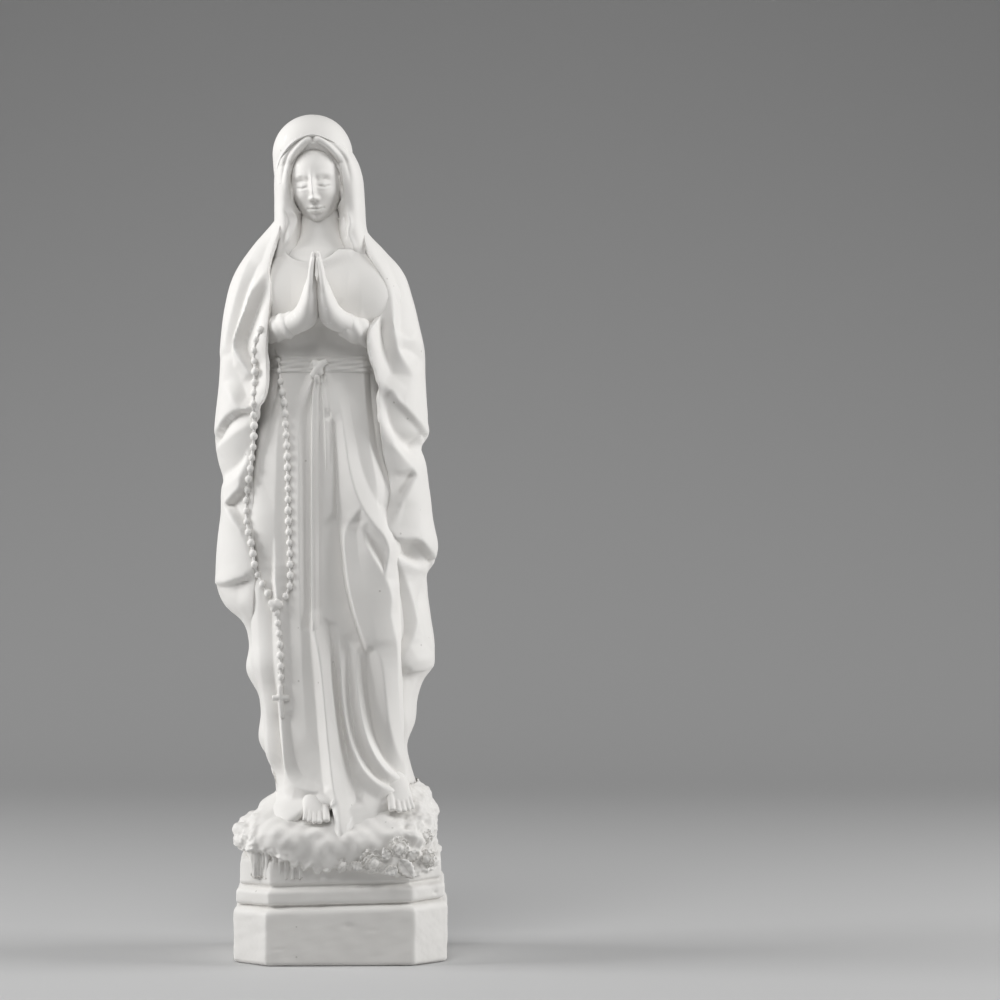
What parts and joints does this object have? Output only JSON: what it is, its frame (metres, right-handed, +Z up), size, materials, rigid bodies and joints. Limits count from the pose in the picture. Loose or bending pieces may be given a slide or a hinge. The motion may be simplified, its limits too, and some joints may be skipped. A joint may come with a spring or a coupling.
{
  "type": "madonna statue",
  "caption": "Standing praying madonna in a long veil and mantle on a rock with roses and a stepped eight-sided plinth; a devotional figure for a shelf or altar.",
  "frame": {"origin": "centre of the plinth's underside", "axes": "+Z up along the figure, the figure faces -Y, its right hand is on the -X side"},
  "size_m": [0.0832, 0.064, 0.2996],
  "materials": {
    "plaster": "matt unpainted cast plaster",
    "cork": "fine-grained cork sheet",
    "rod_steel": "threaded rod, plain",
    "fastener_steel": "zinc plated",
    "pin_brass": "plain drawn wire"
  },
  "bodies": {
    "root": {"plinth": "plaster", "rock_mound": "plaster", "rose_blooms": "plaster", "rose_leaves": "plaster", "gown_skirt": "plaster", "gown_bodice": "plaster", "girdle": "plaster", "sash_knot": "plaster", "sash_tail_right": "plaster", "sash_tail_left": "plaster", "mantle": "plaster", "mantle_fall_right": "plaster", "mantle_fall_left": "plaster", "veil": "plaster", "head": "plaster", "hair": "plaster", "hand_right": "plaster", "hand_left": "plaster", "cuff_right": "plaster", "cuff_left": "plaster", "foot_right": "plaster", "foot_left": "plaster", "rosary_strand_outer": "plaster", "rosary_strand_inner": "plaster", "rosary_medal": "plaster", "rosary_pendant": "plaster", "rosary_crucifix": "plaster", "base_pad": "cork", "armature_rod": "rod_steel", "rod_nut": "fastener_steel", "rod_washer": "fastener_steel", "wrist_pins": "pin_brass"}
  },
  "joints": []
}
